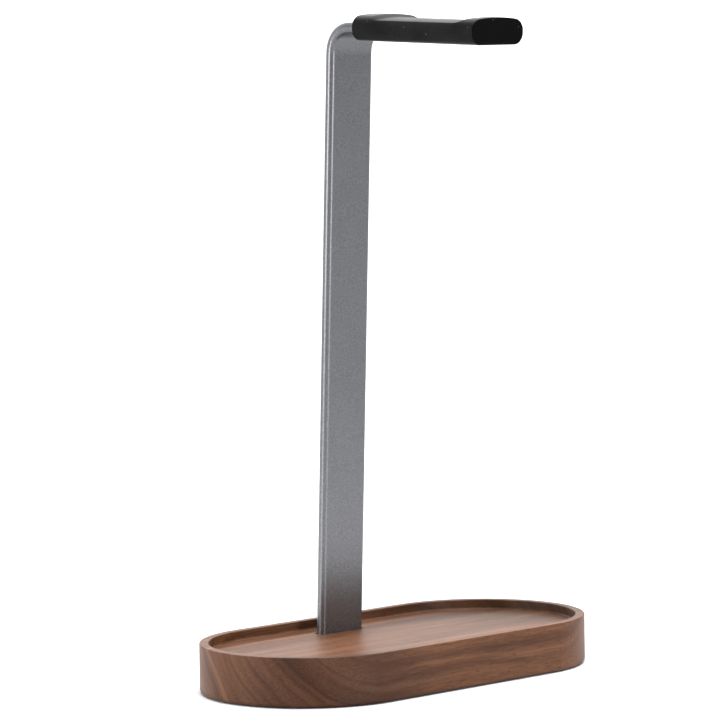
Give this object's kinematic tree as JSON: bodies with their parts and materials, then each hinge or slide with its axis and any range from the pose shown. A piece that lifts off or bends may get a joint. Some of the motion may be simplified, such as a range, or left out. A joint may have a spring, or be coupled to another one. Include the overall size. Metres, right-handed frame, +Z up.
{
  "type": "headphone stand",
  "caption": "Headphone stand: a flat bar rises from a capsule-shaped wooden tray and bends forward into a padded saddle for the headband.",
  "frame": {"origin": "centre of the rubber pad's underside, at the centre of the tray in plan", "axes": "+Z up, X along the tray's length, +Y to the back edge where the post stands; the arm points to -Y"},
  "size_m": [0.1794, 0.1082, 0.2625],
  "materials": {
    "walnut": "satin oiled walnut, open pores, grain along the tray's length",
    "anodised_aluminium": "grey anodised over a fine bead blast",
    "black_silicone": "matt moulded silicone",
    "zinc_plated_steel": "zinc plated steel",
    "black_oxide_steel": "black oxide on steel",
    "grey_rubber": "fine ribbed non-slip rubber sheet"
  },
  "bodies": {
    "root": {"tray_base": "walnut", "post_arm": "anodised_aluminium", "arm_sleeve": "black_silicone", "ballast_plate": "zinc_plated_steel", "post_screw_left": "black_oxide_steel", "post_screw_right": "black_oxide_steel", "plate_screw_1": "zinc_plated_steel", "plate_screw_2": "zinc_plated_steel", "plate_screw_3": "zinc_plated_steel", "plate_screw_4": "zinc_plated_steel", "anti_slip_pad": "grey_rubber"}
  },
  "joints": []
}
